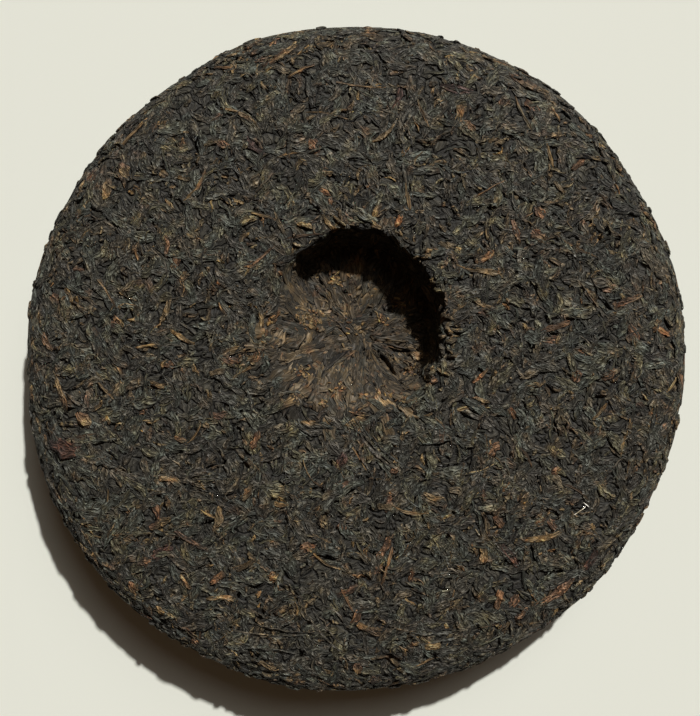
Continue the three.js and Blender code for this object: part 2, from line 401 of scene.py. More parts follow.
PACKED_DARK = linear(50, 47, 41)
PACKED_GREY = linear(66, 62, 51)
RUBBED_DARK = linear(58, 50, 39)
RUBBED_BROWN = linear(84, 73, 57)
RUBBED_GOLD = linear(104, 86, 60)


def body_material():
    """Packed leaf that shows dark between the leaves that lie on it, and smoother and browner in the
    dimple. Painted shade darkens its seams and wrinkle hollows, and a painted highlight brightens the
    wrinkle crests.
    """
    material = bpy.data.materials.new("packed leaf")
    material.use_nodes = True
    tree = material.node_tree
    shader = tree.nodes["Principled BSDF"]
    packing = add(tree, "ShaderNodeGroup", node_tree=PACKING)
    mottle = add(tree, "ShaderNodeGroup", node_tree=MOTTLE)
    mottle.inputs["Patch per m"].default_value = 220
    mottle.inputs["Speck per m"].default_value = 600
    dark = mix_colours(tree, packing.outputs["Tone"], PACKED_DARK, PACKED_GREY)
    brown = mix_colours(tree, mottle.outputs["Shade"], RUBBED_DARK, RUBBED_BROWN)
    gold = mix_colours(tree, mottle.outputs["Speck"], brown, RUBBED_GOLD)
    floor = add(tree, "ShaderNodeAttribute", attribute_name="dimple")
    own = mix_colours(tree, floor.outputs["Fac"], dark, gold)
    # Painted shade and highlight: the packed leaf is darker in its wrinkle hollows and seams, and paler on
    # the wrinkle crests.
    wrinkle = mix_colours(tree, packing.outputs["Crest"], grey(0.5), grey(1.7))
    painted_shade_and_highlight = mix_colours(tree, packing.outputs["Seam"], grey(0.3), wrinkle)
    colour = mix_colours(tree, 1.0, own, painted_shade_and_highlight, "MULTIPLY")
    tree.links.new(colour, shader.inputs["Base Color"])
    shader.inputs["Roughness"].default_value = 0.75
    bump = add(tree, "ShaderNodeBump", Strength=1.0, Distance=0.0016)
    tree.links.new(packing.outputs["Height"], bump.inputs["Height"])
    tree.links.new(bump.outputs["Normal"], shader.inputs["Normal"])
    return material


dimple_share = core_mesh.attributes.new("dimple", "FLOAT", "POINT")
dimple_share.data.foreach_set("value", in_dimple.astype(np.float32))
core_mesh.materials.append(body_material())
pressed_body = bpy.data.objects.new("pressed_body", core_mesh)
bpy.context.collection.objects.link(pressed_body)
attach(pressed_body, "root")
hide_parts("tea_cake")


# The rolled leaves
# Most of the cake's face: small leaves that were twisted and rolled before they dried, then pressed
# flat against each other, so that each shows as a short strip with a few ridges along it.

LEAF_ROWS = 8  # rings of points along a leaf, ends included
TOP_PRESS = 0.2  # no leaf stands further than this out of the cake's smooth form
LAID_PRESS = 0.5  # the same for the few that lie over all others
PRESS_SOFTNESS = 0.28  # how far below that limit the pressing begins
VALLEY_HEIGHT = 0.35  # of the grooves between a leaf's ridges, if the ridges are 1 high
KEEL_DEPTH = 1.0  # of the one line of points under a leaf


def leaf_blank(sides, rows):
    """A straight closed prism of unit length: where its points lie round it and along it, and its faces."""
    form = bmesh.new()
    bmesh.ops.create_cone(
        form, cap_ends=True, cap_tris=True, segments=sides, radius1=1, radius2=1, depth=1,
    )
    upright = [e for e in form.edges if abs(e.verts[0].co.z - e.verts[1].co.z) > 0.5]
    bmesh.ops.subdivide_edges(form, edges=upright, cuts=rows - 2, use_grid_fill=True)
    bmesh.ops.triangulate(form, faces=form.faces)
    bmesh.ops.recalc_face_normals(form, faces=form.faces)
    form.verts.index_update()
    places = np.array([v.co[:] for v in form.verts])
    faces = np.array([[v.index for v in f.verts] for f in form.faces])
    form.free()
    middle = np.hypot(places[:, 0], places[:, 1]) < 0.5
    turn = np.round(np.arctan2(places[:, 1], places[:, 0]) / (2 * math.pi) * sides).astype(int) % sides
    return {"side": np.where(middle, -1, turn), "along": places[:, 2] + 0.5, "faces": faces, "sides": sides}


def section_of(blank, ridges):
    """Across and up of each point of a leaf's section, with ridges on top and one keel point below."""
    tops = blank["sides"] - 1
    across = np.linspace(-1, 1, tops)
    high = 0.5 - 0.5 * np.cos(np.linspace(0, 2 * math.pi * ridges, tops))
    high = VALLEY_HEIGHT + (1 - VALLEY_HEIGHT) * high
    high[0] = high[-1] = 0.0
    across = np.append(across, 0.0)
    high = np.append(high, -KEEL_DEPTH)
    side = blank["side"]
    return np.where(side < 0, 0, across[side]), np.where(side < 0, 0, high[side])


PLACE_JITTER = 0.4  # how far a leaf strays from its turn in the order along the stretch
TURN_JITTER = 0.25  # and round the cake, in radians
CROWDED = (0.62, 0.52)  # this share of the leaves lies on this share of their stretch, at its start
NEAR_DIMPLE = 30.0  # leaves this near its middle are lowered into it


def scatter(draw, count, low, high):
    """Places over the stretch from low to high of the way from dimple to foot, denser at its start."""
    section = np.array(profile_points(600))
    lengths = np.linalg.norm(np.diff(section, axis=0), axis=1)
    bands = lengths * (section[:-1, 0] + section[1:, 0]) / 2
    share = np.append(0, np.cumsum(bands)) / bands.sum()
    order = (np.arange(count) + draw.uniform(-PLACE_JITTER, 1 + PLACE_JITTER, count)) / count
    crowded = np.interp(np.clip(order, 0, 1), (0, CROWDED[0], 1), (0, CROWDED[1], 1))
    where = low + (high - low) * crowded
    r = np.interp(where, share, section[:, 0])
    z = np.interp(where, share, section[:, 1])
    golden_angle = math.pi * (3 - math.sqrt(5))
    angle = np.arange(count) * golden_angle + draw.normal(0, TURN_JITTER, count)
    p = np.stack([r * np.cos(angle), r * np.sin(angle), z], axis=-1)
    near = (z > LIP_HEIGHT) & (dimple_reach(p[:, 0], p[:, 1]) < NEAR_DIMPLE)
    p[:, 2] -= np.where(near, dimple_depth(p[:, 0], p[:, 1]), 0)
    return on_surface(p, 5)


def walk(start, heading, lengths, bends, wriggle, rows):
    """Places and directions along each leaf, which goes over the surface from start to its far end."""
    place, ahead = start, heading
    places, headings = [place], [ahead]
    for step in range(rows - 1):
        place = on_surface(place + ahead * (lengths / (rows - 1))[:, None], 2)
        up = unit(slope_of(place))
        ahead = unit(ahead - up * (ahead * up).sum(-1, keepdims=True))
        swing = wriggle[:, 0] * np.sin(wriggle[:, 1] * step + wriggle[:, 2])
        turn = (bends / (rows - 1) + swing)[:, None]
        ahead = ahead * np.cos(turn) + np.cross(up, ahead) * np.sin(turn)
        places.append(place)
        headings.append(ahead)
    return np.stack(places, 1), np.stack(headings, 1)


def press_down(height, limit):
    """Presses the highest ridges towards one limit, in the same order, as the stone does."""
    start = limit - PRESS_SOFTNESS
    above = np.maximum(height, start) - start
    return np.where(height < start, height, limit - PRESS_SOFTNESS * np.exp(-above / PRESS_SOFTNESS))


def leaves_from(name, blank, points, tints, uv, material):
    """One mesh of all leaves of a kind, from arrays: points is leaves by points by 3, in millimetres."""
    many, each = points.shape[:2]
    faces = blank["faces"]
    corners = (faces[None] + (np.arange(many) * each)[:, None, None]).reshape(-1)
    mesh = bpy.data.meshes.new(name)
    mesh.vertices.add(many * each)
    mesh.loops.add(len(corners))
    mesh.polygons.add(len(corners) // 3)
    mesh.loops.foreach_set("vertex_index", corners.astype(np.int32))
    mesh.polygons.foreach_set("loop_start", np.arange(0, len(corners), 3, dtype=np.int32))
    mesh.polygons.foreach_set("use_smooth", np.ones(len(corners) // 3, bool))
    write_points(mesh, points.reshape(-1, 3))
    mesh.validate()
    along = mesh.uv_layers.new(name="along_leaf")
    along.data.foreach_set("uv", uv.reshape(-1, 2)[corners].astype(np.float32).ravel())
    tint = mesh.attributes.new("tint", "FLOAT_COLOR", "POINT")
    rgba = np.concatenate([tints, np.ones((many, each, 1))], axis=2)
    tint.data.foreach_set("color", rgba.astype(np.float32).ravel())
    mesh.materials.append(material)
    piece = bpy.data.objects.new(name, mesh)
    bpy.context.collection.objects.link(piece)
    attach(piece, "root")
    return piece


EDGE_SPREAD = 0.7  # how unevenly the leaves end at the dimple's edge
PATCHES = ((1.0, 34, 5), (0.5, 13, 6))  # weight, size and seed of the waves that crowd the pale leaves
CREASE_CLEARANCE = 3.4
BITS_REACH = 1.5  # outside the dimple's radius
BITS_SPREAD = 1.8


def outside_dimple(places, draw):
    edge = DIMPLE_RADIUS - 1 + draw.normal(0, EDGE_SPREAD, len(places))
    return (dimple_reach(places[:, 0], places[:, 1]) > edge) | (places[:, 2] < INSIDE_LEVEL)


def in_patches(places, draw):
    """Outside the dimple, and mostly in patches a few centimetres wide."""
    crowd = sum(weight * ruffle(places, size, seed) for weight, size, seed in PATCHES)
    crowd = crowd + draw.normal(0, 0.35, len(places))
    return outside_dimple(places, draw) & (crowd > 0)


def inside_dimple(places, draw):
    """In the dimple, and clear of the long crease in its floor."""
    along, aside = from_long_crease(places[:, 0], places[:, 1])
    clear = (np.abs(aside) > CREASE_CLEARANCE) | (along < -3) | (along > LONG_CREASE_LENGTH + 1)
    inside = dimple_reach(places[:, 0], places[:, 1]) < DIMPLE_RADIUS
    return inside & (places[:, 2] > INSIDE_LEVEL) & clear


def at_steep_edge(places, draw):
    """On the edge of the dimple's steep side."""
    x, y, z = places.T
    heading = np.arctan2(y - DIMPLE_CENTRE[1], x - DIMPLE_CENTRE[0])
    steep = np.cos(heading - STEEP_SIDE) > draw.uniform(0, 0.5, len(x))
    near = np.abs(dimple_reach(x, y) - DIMPLE_RADIUS - BITS_REACH) < BITS_SPREAD
    return near & (z > INSIDE_LEVEL) & steep


RIM_STARTS = (88, 97)  # between these radii the leaves turn to lie along the rim
RIM_HOLD = 0.6


def random_headings(draw, start, radial):
    """Any way over the surface, but more round the rim, or out from the dimple's middle if radial."""
    up = unit(slope_of(start))
    out = start * (1, 1, 0) - (np.array([*DIMPLE_CENTRE, 0]) if radial else 0)
    around = unit(np.cross(up, unit(out)) + 1e-6)
    hold = radial + RIM_HOLD * smoothstep(np.hypot(start[:, 0], start[:, 1]), *RIM_STARTS)
    turn = draw.uniform(-math.pi / 2, math.pi / 2, len(start)) * (1 - hold)
    turn = turn + (math.pi / 2 if radial else 0) + math.pi * draw.integers(0, 2, len(start))
    return around * np.cos(turn)[:, None] + np.cross(up, around) * np.sin(turn)[:, None]


TINT_SPREAD = 0.18
TINT_LIMITS = (0.55, 1.6)
# Painted shade: leaves are darker at their edges, where the seams between them lie, and partly this is the
# darker curled edge of dried leaf.
EDGE_PAINTED_SHADE = 0.6  # how much darker a leaf is at its very edge


def leaf_tints(draw, colours, fade, u, x):
    """Each leaf's own colour, which turns into another one somewhere along it, and darker towards its
    edges: painted shade of the seams between leaves, and partly the darker curled edge of dried leaf.
    """
    many = u.shape[0]
    colours = np.array(colours)[:, :3]
    other = np.array(fade or colours)[:, :3]
    near = colours[draw.integers(0, len(colours), many)][:, None]
    far = other[draw.integers(0, len(other), many)][:, None]
    first, last = np.sort(draw.uniform(0.1, 1.2, (2, many, 1)), axis=0)
    turned = smoothstep(u + 0.25 * x, first, last)[..., None]
    shade = draw.normal(1, TINT_SPREAD, (many, 1, 1)).clip(*TINT_LIMITS)
    # Painted shade of the seams between leaves, darkening each leaf towards its edges.
    edge = (1 - EDGE_PAINTED_SHADE * smoothstep(np.abs(x), 0.75, 1.0))[..., None]
    return (near * (1 - turned) + far * turned) * shade * edge


END_CUT = 0.04  # of a leaf's length, where its thin tip is missing
END_DROP = 0.25  # how far its ends are pushed in
SWELL = 0.2  # how unevenly wide it is
RAGGED_EDGE = 0.09
SWAY = 0.16  # how far it winds, as a share of half its width
SWAY_LIFT = 0.1
LUMPY = 0.3
GRAIN = 0.05
RISE_SPREAD = (0.75, 1.25)  # from leaf to leaf
RIDGE_SPREAD = (0.6, 1.25)  # from ridge to ridge


def shape_leaves(
    name, material, colours, draw, start, heading, lengths, halves, bends, rise, layer, ridges=3, sides=8,
    rows=LEAF_ROWS, wriggle=0.2, tip=0.3, fade=None, limit=TOP_PRESS, lean=0.05,
):
    """Shapes leaves from their starts, headings and sizes. The layer is how high their edges lie."""
    many = len(start)
    blank = leaf_blank(sides, rows)
    swings = np.stack([
        draw.normal(0, wriggle, many), draw.uniform(0.8, 2.2, many), draw.uniform(0, 2 * math.pi, many),
    ], axis=-1)
    places, ahead = walk(start, heading, lengths, bends, swings, rows)

    x, y = section_of(blank, ridges)
    row = np.round(blank["along"] * (rows - 1)).astype(int)
    u = np.broadcast_to(blank["along"], (many, len(row)))
    ends = np.sin(math.pi * (END_CUT + (1 - 2 * END_CUT) * u))
    ends = ends ** draw.uniform(tip * 0.6, tip * 1.6, many)[:, None]
    wave = draw.uniform(0, 2 * math.pi, (many, 3))
    sway = np.sin(2 * math.pi * u * draw.uniform(0.5, 1.4, many)[:, None] + wave[:, :1])
    swell = 1 + SWELL * np.sin(2 * math.pi * u * draw.uniform(0.8, 2.4, many)[:, None] + wave[:, 1:2])
    ragged = 1 + draw.normal(0, RAGGED_EDGE, (many, len(row)))
    across = x * halves[:, None] * ends * swell * ragged
    across = across + SWAY * (halves * np.minimum(lengths / halves / 8, 1))[:, None] * sway
    uneven = draw.uniform(*RIDGE_SPREAD, (many, sides + 1))[:, blank["side"]]
    rises = draw.uniform(*RISE_SPREAD, many)[:, None] * rise
    lumps = 2 * math.pi * u * draw.uniform(1, 3, many)[:, None] + wave[:, 2:3] + 2 * x
    lumpy = 1 + LUMPY * np.sin(lumps)
    height = y * rises * uneven * lumpy * ends ** 0.5 + draw.normal(0, GRAIN, (many, len(row)))
    height = height + draw.uniform(*layer, many)[:, None]
    tilt = draw.normal(0, lean, many)[:, None]
    height = height + tilt * across - END_DROP * (2 * u - 1) ** 4
    height = height + SWAY_LIFT * sway * draw.uniform(0, 1, many)[:, None]

    point = places[:, row]
    sideways = np.cross(ahead[:, row], unit(slope_of(point)))
    point = on_surface(point + sideways * across[..., None], 2)
    point = point + unit(slope_of(point)) * press_down(height, limit)[..., None]
    point[..., 2] = press_flat(point[..., 2])

    tints = leaf_tints(draw, colours, fade, u, x)
    uv = np.stack([u * lengths[:, None], x * halves[:, None]], axis=-1)
    uv = uv + draw.uniform(0, 500, (many, 1, 2))
    return leaves_from(name, blank, point, tints, uv, material)


def press_leaves(
    name, material, colours, seed, count, length, width, bend=0.8, low=0.0, high=1.0, radial=0.0,
    keep=outside_dimple, **shape,
):
    """Scatters one kind of leaf over the cake and presses it in. The sizes are in millimetres."""
    draw = np.random.default_rng(seed)
    start = scatter(draw, count, low, high)
    start = start[keep(start, draw)]
    many = len(start)
    heading = random_headings(draw, start, radial)
    lengths = draw.uniform(*length, many)
    halves = draw.uniform(*width, many) / 2
    bends = draw.normal(0, bend, many)
    return shape_leaves(name, material, colours, draw, start, heading, lengths, halves, bends, **shape)


def lay_leaves(name, material, colours, seed, laid, **shape):
    """Leaves at given places on the upper face: middle x and y, turn in degrees, length, width and bend."""
    draw = np.random.default_rng(seed)
    x, y, turn, length, width, bend = np.array(laid, float).T
    heading = np.stack([np.cos(np.radians(turn)), np.sin(np.radians(turn)), 0 * turn], axis=-1)
    middle = np.stack([x, y, CAKE_HEIGHT - dimple_depth(x, y)], axis=-1)
    start = on_surface(middle - heading * (length / 2)[:, None], 6)
    return shape_leaves(name, material, colours, draw, start, heading, length, width / 2, bend, **shape)


def veins_group():
    """Fine wrinkles that run along a leaf, from its own map in millimetres."""
    group = new_group(
        "leaf veins", [("Across per mm", 1.2), ("Along per mm", 0.42)], ["Height", "Crest"],
    )
    given = add(group, "NodeGroupInput")
    place = add(group, "ShaderNodeUVMap", uv_map="along_leaf")
    sizes = add(group, "ShaderNodeCombineXYZ")
    scale = add(group, "ShaderNodeVectorMath", operation="MULTIPLY")
    noise = add(group, "ShaderNodeTexNoise", Scale=1.0, Detail=2.0, Roughness=0.6, Distortion=0.8)
    crest = add_span(group, 0.45, 0.665)
    put = add(group, "NodeGroupOutput")
    link = group.links.new
    link(given.outputs["Along per mm"], sizes.inputs["X"])
    link(given.outputs["Across per mm"], sizes.inputs["Y"])
    link(place.outputs["UV"], scale.inputs[0])
    link(sizes.outputs["Vector"], scale.inputs[1])
    link(scale.outputs["Vector"], noise.inputs["Vector"])
    link(noise.outputs["Fac"], crest.inputs["Value"])
    link(noise.outputs["Fac"], put.inputs["Height"])
    link(crest.outputs["Result"], put.inputs["Crest"])
    return group


VEINS = veins_group()


def stain_group():
    """Where leaves went ochre or rusty, in patches of a few millimetres that cross from leaf to leaf."""
    group = new_group("leaf stain", [("Patch per m", 210.0)], ["Ochre", "Rust"])
    given = add(group, "NodeGroupInput")
    place = add(group, "ShaderNodeTexCoord")
    put = add(group, "NodeGroupOutput")
    link = group.links.new
    for label, shift, low, high in (("Ochre", (0, 0, 0), 0.505, 0.675), ("Rust", (7, 3, 5), 0.565, 0.71)):
        moved = add(group, "ShaderNodeVectorMath", operation="ADD")
        moved.inputs[1].default_value = shift
        noise = add(group, "ShaderNodeTexNoise", Detail=3.0, Roughness=0.65)
        mask = add_span(group, low, high)
        link(place.outputs["Object"], moved.inputs[0])
        link(moved.outputs["Vector"], noise.inputs["Vector"])
        link(given.outputs["Patch per m"], noise.inputs["Scale"])
        link(noise.outputs["Fac"], mask.inputs["Value"])
        link(mask.outputs["Result"], put.inputs[label])
    return group


STAIN = stain_group()

# The warm tint of the painted shade in the leaves' wrinkle hollows.
PAINTED_GROOVE_SHADE_TONE = (1.08, 1.0, 0.77)
OCHRE_STAIN = (1.8, 1.56, 1.18, 1)
RUST_STAIN = (1.8, 1.28, 0.95, 1)
MOTTLE_DARK = (0.68, 0.67, 0.65, 1)
PALEST_LEAF = (0.42, 0.34, 0.24, 1)


# dark and pale scale a leaf's tint in its wrinkle hollows and on their crests, as painted shade and painted
# highlight.
def leaf_material(
    name, across=1.2, along=0.42, rough=(0.45, 0.78), bump_depth=0.0024, dark=0.42, pale=3.0,
    palest=PALEST_LEAF,
):
    """Dried leaf: its own tint, with painted shade in its wrinkle hollows and a painted highlight on their
    crests.
    """
    material = bpy.data.materials.new(name)
    material.use_nodes = True
    tree = material.node_tree
    shader = tree.nodes["Principled BSDF"]
    tint = add(tree, "ShaderNodeAttribute", attribute_name="tint")
    veins = add(tree, "ShaderNodeGroup", node_tree=VEINS)
    veins.inputs["Across per mm"].default_value = across
    veins.inputs["Along per mm"].default_value = along
    mottle = add(tree, "ShaderNodeGroup", node_tree=MOTTLE)
    # Painted shade: the wrinkle hollows are darker and warmer. Painted highlight: the crests are paler.
    # Both follow the wrinkle mask.
    groove = (*(dark * share for share in PAINTED_GROOVE_SHADE_TONE), 1)
    low = mix_colours(tree, 1.0, tint.outputs["Color"], groove, "MULTIPLY")
    high = mix_colours(tree, 1.0, tint.outputs["Color"], grey(pale), "MULTIPLY")
    wrinkled = mix_colours(tree, veins.outputs["Crest"], low, high)
    stain = add(tree, "ShaderNodeGroup", node_tree=STAIN)
    ochre = mix_colours(tree, 1.0, wrinkled, OCHRE_STAIN, "MULTIPLY")
    rusty = mix_colours(tree, 1.0, wrinkled, RUST_STAIN, "MULTIPLY")
    stained = mix_colours(tree, stain.outputs["Ochre"], wrinkled, ochre)
    stained = mix_colours(tree, stain.outputs["Rust"], stained, rusty)
    uneven = mix_colours(tree, mottle.outputs["Shade"], MOTTLE_DARK, grey(1.34))
    mottled = mix_colours(tree, 1.0, stained, uneven, "MULTIPLY")
    colour = mix_colours(tree, 1.0, mottled, palest, "DARKEN")
    tree.links.new(colour, shader.inputs["Base Color"])
    shine = add(tree, "ShaderNodeMapRange")
    shine.inputs["To Min"].default_value = rough[1]
    shine.inputs["To Max"].default_value = rough[0]
    tree.links.new(veins.outputs["Crest"], shine.inputs["Value"])
    tree.links.new(shine.outputs["Result"], shader.inputs["Roughness"])
    bump = add(tree, "ShaderNodeBump", Strength=1.0, Distance=bump_depth)
    tree.links.new(veins.outputs["Height"], bump.inputs["Height"])
    tree.links.new(bump.outputs["Normal"], shader.inputs["Normal"])
    return material


CHARCOAL = [
    linear(62, 59, 52), linear(55, 53, 47), linear(66, 60, 50), linear(53, 50, 45), linear(58, 58, 53),
]
OLIVE_GREY = [linear(64, 65, 57), linear(60, 63, 57), linear(70, 67, 52), linear(58, 60, 55)]
BROWN = [linear(84, 71, 52), linear(92, 77, 54), linear(76, 63, 48), linear(88, 78, 58)]

charcoal_leaf = leaf_material("charcoal leaf")
press_leaves(
    "rolled_leaves_charcoal", charcoal_leaf, CHARCOAL, seed=11, count=1250, length=(5, 11),
    width=(1.9, 3.4), rise=0.46, layer=(-0.25, 0.05),
)
press_leaves(
    "rolled_leaves_small", charcoal_leaf, CHARCOAL + OLIVE_GREY + BROWN, seed=12, count=1900,
    length=(3, 7.5), width=(1.1, 2.1), rise=0.46, layer=(-0.22, 0.08), ridges=2, sides=6, rows=7, bend=1.3,
)
olive_leaf = leaf_material("olive grey leaf")
press_leaves(
    "rolled_leaves_olive", olive_leaf, OLIVE_GREY, seed=13, count=1100, length=(5, 10), width=(1.8, 3.4),
    rise=0.46, layer=(-0.25, 0.05),
)

# Long folds that stand out. Each row is middle x and y, turn in degrees, length, width and bend.
FOLD_LAID = [
    (3.4, -27, -62, 22, 1.2, 0.5), (5.2, -27.5, -62, 23, 1.3, 0.5), (7, -28.5, -62, 22, 1.2, 0.55),
    (1.6, -28, -66, 18, 1.1, 0.4), (-25, -83, -15, 26, 1.5, 0.4), (-27, -85.4, -15, 22, 1.4, 0.35),
    (-20, -81, -18, 20, 1.2, 0.4), (-11, -81, -60, 18, 1.5, 0.4), (-8.6, -80, -60, 15, 1.2, 0.4),
    (9, 92, -10, 16, 1.6, 0.4), (8, 90, -10, 13, 1.4, 0.4), (28, 83, -70, 13, 2, 0.3),
    (27, -31, 0, 8, 1.1, 0.1), (88, -18, 80, 10, 1.7, 0.3), (-82, -13, -40, 12, 1.4, 0.3),
    (16, 65, -80, 6, 1.6, 0.2), (-35, 71, 30, 9, 1.5, 0.5), (69, 17, -60, 15, 1.4, 0.3),
    (72, 18, -65, 13, 1.3, 0.3), (25, -82, -10, 17, 1.5, 0.4), (26, -84.6, -5, 15, 1.3, 0.4),
]
lay_leaves(
    "long_folds", charcoal_leaf, CHARCOAL, 14, FOLD_LAID, rise=0.6, layer=(0.0, 0.1), ridges=1, sides=6,
    rows=12, wriggle=0.09, tip=0.35, limit=0.42,
)


# The broad leaves
# Whole and torn leaf blades that stayed open: thin dark flakes with several low wrinkles along them.
# They lie lowest, and the rolled leaves are pressed over their edges.

broad_leaf = leaf_material("broad dark leaf", across=1.1)
press_leaves(
    "broad_leaves_dark", broad_leaf, CHARCOAL + OLIVE_GREY, seed=21, count=980, length=(7, 14),
    width=(3.4, 6.2), rise=0.36, layer=(-0.25, 0.0), ridges=4, sides=10, rows=7, bend=0.8,
)


# The brown leaves and stems
# Older leaves and bits of stalk that fermented less: dull brown and red-brown strips among the dark
# ones, and maroon and russet flakes laid over them where they stand out.

RUSSET = [linear(88, 66, 50), linear(94, 70, 50), linear(80, 62, 49)]
MAROON = [linear(72, 50, 40), linear(62, 46, 41)]
STALK = [linear(104, 84, 58), linear(90, 70, 50), linear(112, 92, 62)]

brown_leaf = leaf_material("brown leaf", rough=(0.55, 0.85))
press_leaves(
    "brown_leaves", brown_leaf, BROWN, seed=31, count=1300, length=(3, 9), width=(1.3, 2.8),
    rise=0.46, layer=(-0.22, 0.1), ridges=2, sides=6, fade=BROWN + CHARCOAL, keep=in_patches,
)
russet_leaf = leaf_material("russet leaf", rough=(0.5, 0.8))
press_leaves(
    "russet_leaves", russet_leaf, RUSSET, seed=32, count=110, length=(3, 7), width=(1.8, 3.6),
    rise=0.42, layer=(-0.2, 0.05), fade=RUSSET + BROWN + CHARCOAL,
)
stalk_bark = leaf_material("stalk", across=2.0, along=0.15, rough=(0.5, 0.75))
press_leaves(
    "stalks", stalk_bark, STALK, seed=33, count=90, length=(6, 15), width=(0.8, 1.4),
    rise=0.5, layer=(-0.18, 0.05), ridges=1, sides=5, bend=0.4, wriggle=0.08, tip=0.2, fade=STALK + BROWN,
)

RUSSET_LAID = [
    (-21, 90, 30, 15, 1.8, 0.3), (-68, 56, -55, 5.5, 3.4, 0.2),
    (-54, 33, -65, 7, 1.5, -0.6), (-7, 46, 80, 2.6, 1.5, 0.2), (47, 37, -80, 7.5, 2, 0.2),
    (52, 82, -35, 13, 3.6, 0.4), (12, -33, 10, 4.2, 2, 0.9), (9, -56, 50, 8, 2.4, 0.5),
    (58, -49, -60, 4.2, 2.6, 0.3), (59, -33, 20, 3.6, 2.4, 0.3), (-57, -49, 10, 7, 2.6, 0.3),
    (75, -5, 20, 5, 3, 0.4), (81, 17, 20, 9, 2.1, 0.1), (-48, -54, -35, 12, 1.5, 0.1),
    (-29, -24, 60, 6, 2.2, 0.3), (-1, -68, 15, 5, 2, 0.5), (60, -70, 30, 14, 3, 0.35),
]
MAROON_LAID = [
    (-86, -26, -35, 9.5, 7, 0.2), (-4, -30, 60, 6, 3, 0.4), (45, -58, -70, 9, 3, 0.3),
    (30, 79, -20, 10, 3, 0.5), (-57, -58, 20, 9, 3.4, 0.4), (13, 76, 60, 8, 2.6, 0.5),
    (70, -60, 50, 8, 3, 0.3), (-30, 62, -60, 9, 2.6, 0.6),
]
lay_leaves(
    "maroon_flakes", brown_leaf, MAROON, 35, MAROON_LAID, rise=0.3, layer=(-0.05, 0.05), ridges=4, sides=10,
    wriggle=0.1, tip=0.45, limit=LAID_PRESS,
)
lay_leaves(
    "russet_flakes", russet_leaf, RUSSET, 34, RUSSET_LAID, rise=0.5, layer=(-0.1, 0.05), wriggle=0.12,
    fade=RUSSET + BROWN, limit=LAID_PRESS,
)


# The wiry strands
# Leaves rolled so tightly that they dried as dark wires, about 1 mm thick. They are often bent round
# their neighbours.

wiry_leaf = leaf_material("wiry strand", across=2.0, along=0.2, rough=(0.45, 0.75))
press_leaves(
    "wiry_strands", wiry_leaf, CHARCOAL + OLIVE_GREY, seed=41, count=700, length=(4, 10), width=(0.7, 1.3),
    rise=0.48, layer=(-0.18, 0.1), ridges=1, sides=5, bend=1.8, wriggle=0.35, tip=0.2,
)


# The golden tips
# Leaf buds, short, slim and tan to golden, spread thinly in loose patches. The ochre and rust flakes
# that stand out among them are laid one by one.

GOLD = [linear(140, 119, 83), linear(152, 126, 84), linear(130, 112, 80), linear(142, 108, 72)]

golden_bud = leaf_material("golden bud", rough=(0.5, 0.8), dark=0.5, pale=1.8)
press_leaves(
    "golden_tips", golden_bud, GOLD, seed=51, count=800, length=(2, 5.5), width=(0.9, 2.0),
    keep=in_patches, rise=0.46, layer=(-0.28, 0.1), ridges=2, sides=6, fade=GOLD + BROWN + STALK + CHARCOAL,
)

OCHRE = [linear(118, 100, 74), linear(126, 105, 74), linear(108, 94, 72)]
RUST = [linear(114, 86, 62), linear(124, 89, 61), linear(104, 80, 60)]
OCHRE_LAID = [
    (-50, 53, -5, 4.4, 1.3, 0.1), (-56, 54, -35, 3, 2.4, 0.3), (-73, 50, 70, 7, 2.6, 0.3),
    (-22, 39, -70, 9.6, 1.3, 0.2), (-55, 14, 60, 8, 1.9, 0.3), (-51, 6, -40, 9, 1.5, 0.5),
    (-27, 12, 80, 6, 1.8, 0.3), (9, 65, 20, 9, 1.6, 0.7), (31, 72, 75, 7, 3.2, 0.3),
    (60, 50, -60, 5, 1.5, 0.2), (39, 25, -20, 7.5, 2.2, 0.4), (38, 15, -40, 8, 1.7, 0.6),
    (86, 22, 60, 6.2, 1.5, 0.2), (27, 32, -45, 6, 2.2, 0.9), (7, 43, 40, 5, 1.9, 0.2),
    (-86, -10, -60, 12, 1.9, -0.3), (-40, -47, 75, 9, 2.6, 0.3), (-32, -61, 15, 7.5, 2, 0.4),
    (-39, -70, 10, 9.5, 1.8, -0.6), (-54, -35, 5, 7, 2, -0.8), (-40, -5, -10, 6, 2.2, 0.4),
    (-26, -91, -15, 7.5, 1.7, 0.3), (-58, -75, -60, 3.4, 2, 0.3), (-50, -66, -60, 5.4, 1.4, 0.3),
    (23, -41, -25, 6.6, 2, 0.5), (9, -43, 10, 5, 2.2, 0.3), (56, -53, 5, 12, 2.4, 0.35),
    (38, -58, 80, 5, 2.8, 0.3), (4, -80, -35, 7.4, 2.3, 0.3), (23, -85, 5, 5, 2.4, 0.3),
    (-50, 24, 40, 3.4, 2.6, 0.4), (-8, 39, -70, 7, 1.4, 0.9), (-32, 73, -5, 15, 1.4, -1),
    (-55, 70, 10, 4.2, 1.9, 0.3), (-12, -19, -5, 8.5, 1.5, 0.2), (72, -16, 40, 7, 1.2, 0.4),
    (-22, -43, -20, 4.4, 1.5, 0.4), (-31, -40, 30, 6, 2.6, 0.5),
]
lay_leaves(
    "ochre_flakes", golden_bud, OCHRE, 52, OCHRE_LAID, rise=0.5, layer=(-0.1, 0.05), wriggle=0.15,
    fade=OCHRE + BROWN + CHARCOAL, limit=LAID_PRESS,
)
